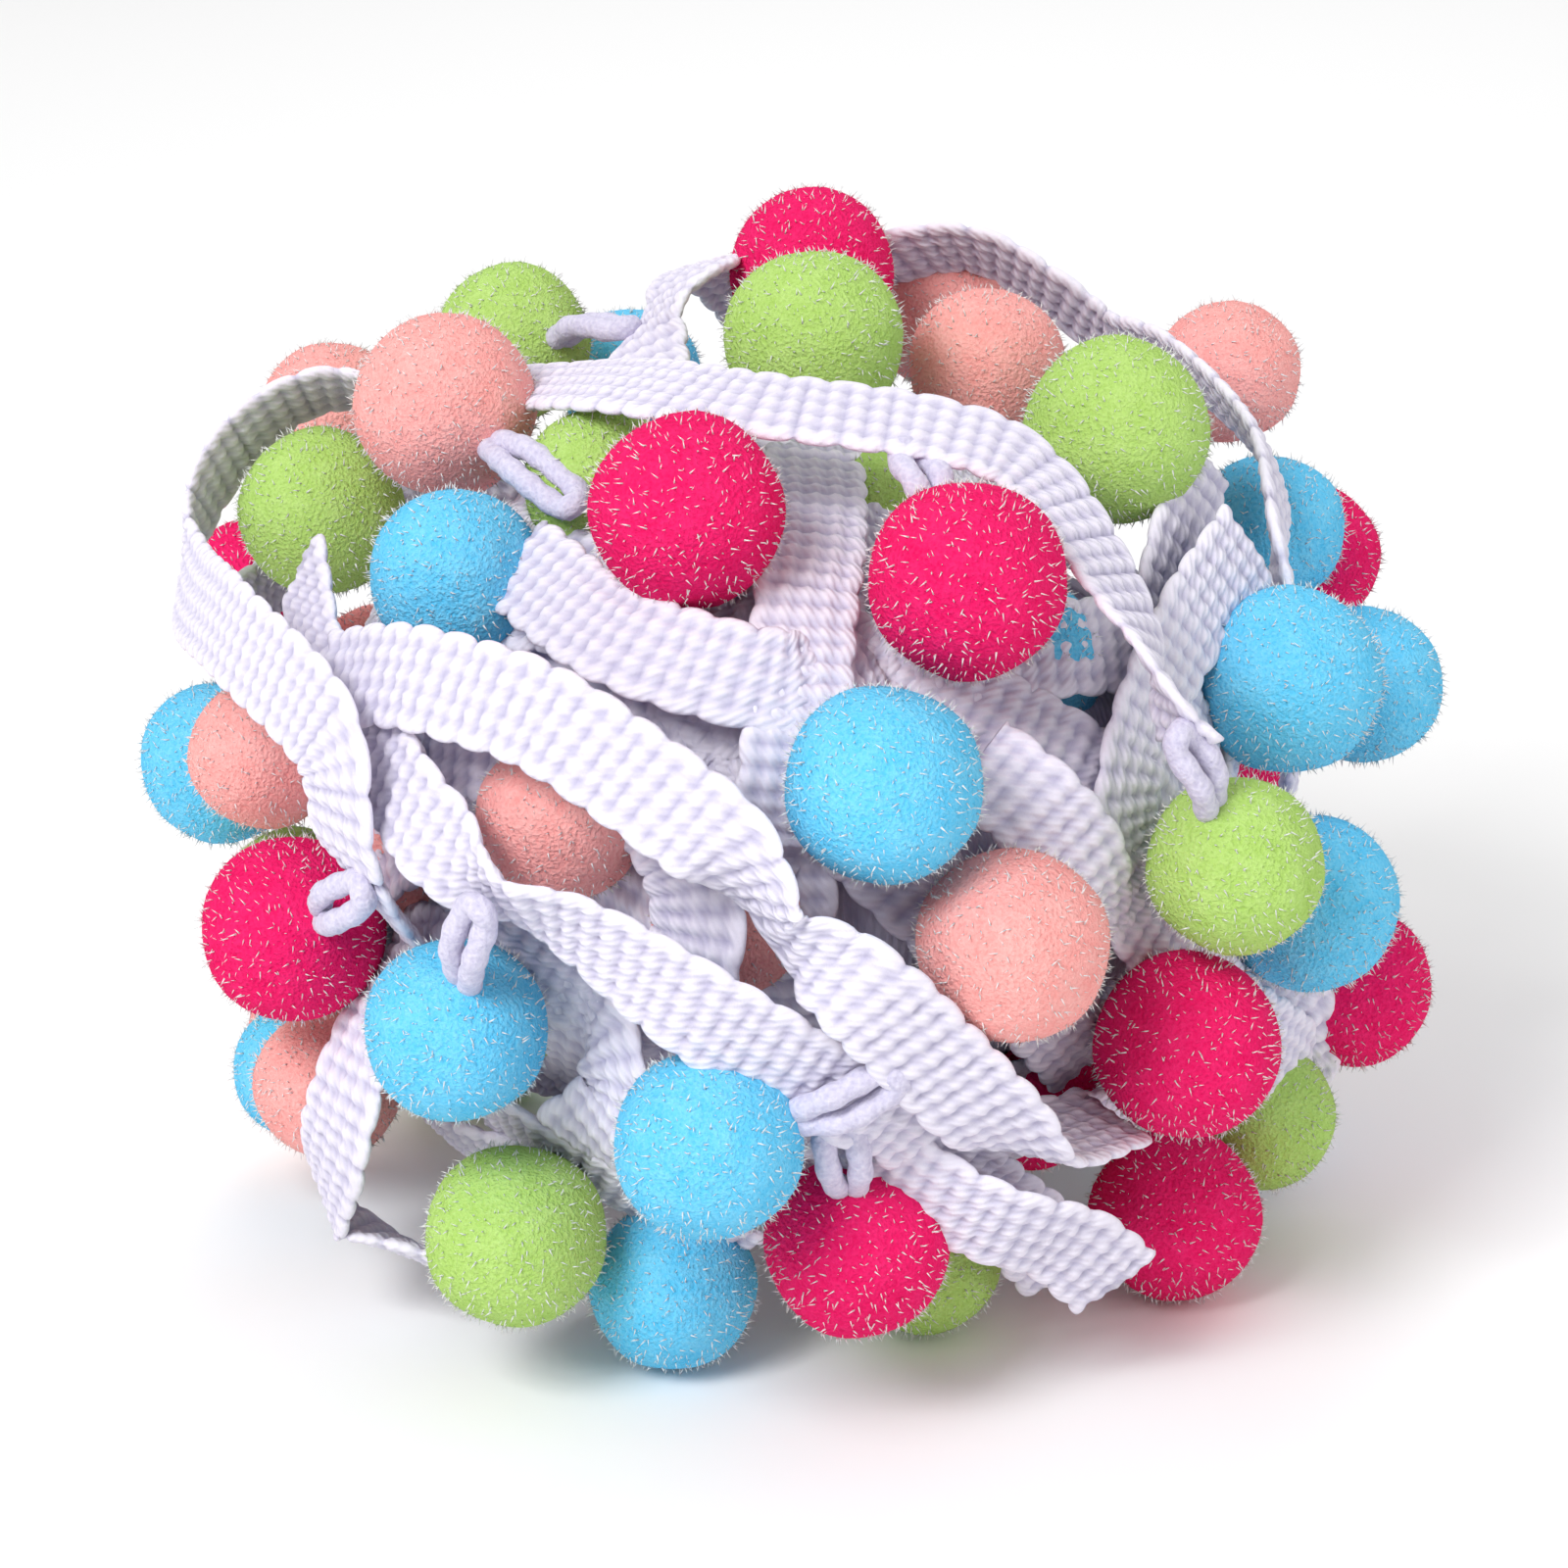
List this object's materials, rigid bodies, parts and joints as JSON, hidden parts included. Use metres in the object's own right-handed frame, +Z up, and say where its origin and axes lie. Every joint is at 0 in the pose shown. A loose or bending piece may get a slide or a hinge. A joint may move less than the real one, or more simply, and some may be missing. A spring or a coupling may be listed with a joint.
{
  "type": "pompom fringe trim",
  "caption": "Loosely wound bundle of white woven braid trim with hanging cut-pile pompoms in raspberry, salmon, lime and sky blue.",
  "frame": {"origin": "middle of the bundle's footprint, on the surface it rests on", "axes": "+X along the bundle's longest side, +Y to its back, +Z up"},
  "size_m": [0.138, 0.1288, 0.1051],
  "materials": {
    "white_braid": "matt",
    "white_yarn": "matt",
    "raspberry_pile": "matt",
    "salmon_pile": "matt",
    "lime_pile": "matt",
    "sky_pile": "matt"
  },
  "bodies": {
    "root": {"hanger_01": "white_yarn", "hanger_02": "white_yarn", "hanger_03": "white_yarn", "hanger_04": "white_yarn", "hanger_05": "white_yarn", "hanger_06": "white_yarn", "hanger_07": "white_yarn", "hanger_08": "white_yarn", "pompom_01_raspberry": "raspberry_pile", "pompom_02_lime": "lime_pile", "pompom_03_salmon": "salmon_pile", "pompom_04_salmon": "salmon_pile", "pompom_05_lime": "lime_pile", "pompom_06_salmon": "salmon_pile", "pompom_07_lime": "lime_pile", "pompom_08_sky": "sky_pile", "pompom_09_salmon": "salmon_pile", "pompom_10_salmon": "salmon_pile", "pompom_11_lime": "lime_pile", "pompom_12_sky": "sky_pile", "pompom_13_raspberry": "raspberry_pile", "pompom_14_raspberry": "raspberry_pile", "pompom_15_sky": "sky_pile", "pompom_16_sky": "sky_pile", "pompom_17_sky": "sky_pile", "pompom_18_sky": "sky_pile", "pompom_19_raspberry": "raspberry_pile", "pompom_20_lime": "lime_pile", "pompom_21_sky": "sky_pile", "pompom_22_raspberry": "raspberry_pile", "pompom_23_salmon": "salmon_pile", "pompom_24_raspberry": "raspberry_pile", "pompom_25_salmon": "salmon_pile", "pompom_26_salmon": "salmon_pile", "pompom_27_sky": "sky_pile", "pompom_28_salmon": "salmon_pile", "pompom_29_raspberry": "raspberry_pile", "pompom_30_raspberry": "raspberry_pile", "pompom_31_sky": "sky_pile", "pompom_32_raspberry": "raspberry_pile", "pompom_33_raspberry": "raspberry_pile", "pompom_34_salmon": "salmon_pile", "pompom_35_lime": "lime_pile", "pompom_36_sky": "sky_pile", "pompom_37_sky": "sky_pile", "pompom_38_raspberry": "raspberry_pile", "pompom_39_lime": "lime_pile", "pompom_40_salmon": "salmon_pile", "pompom_41_raspberry": "raspberry_pile", "pompom_42_lime": "lime_pile", "pompom_43_sky": "sky_pile", "pompom_44_raspberry": "raspberry_pile", "pompom_45_salmon": "salmon_pile", "pompom_46_lime": "lime_pile", "pompom_47_sky": "sky_pile", "pompom_48_salmon": "salmon_pile", "pompom_49_lime": "lime_pile", "pompom_50_salmon": "salmon_pile", "pompom_51_sky": "sky_pile", "wound_braid": "white_braid"}
  },
  "joints": []
}
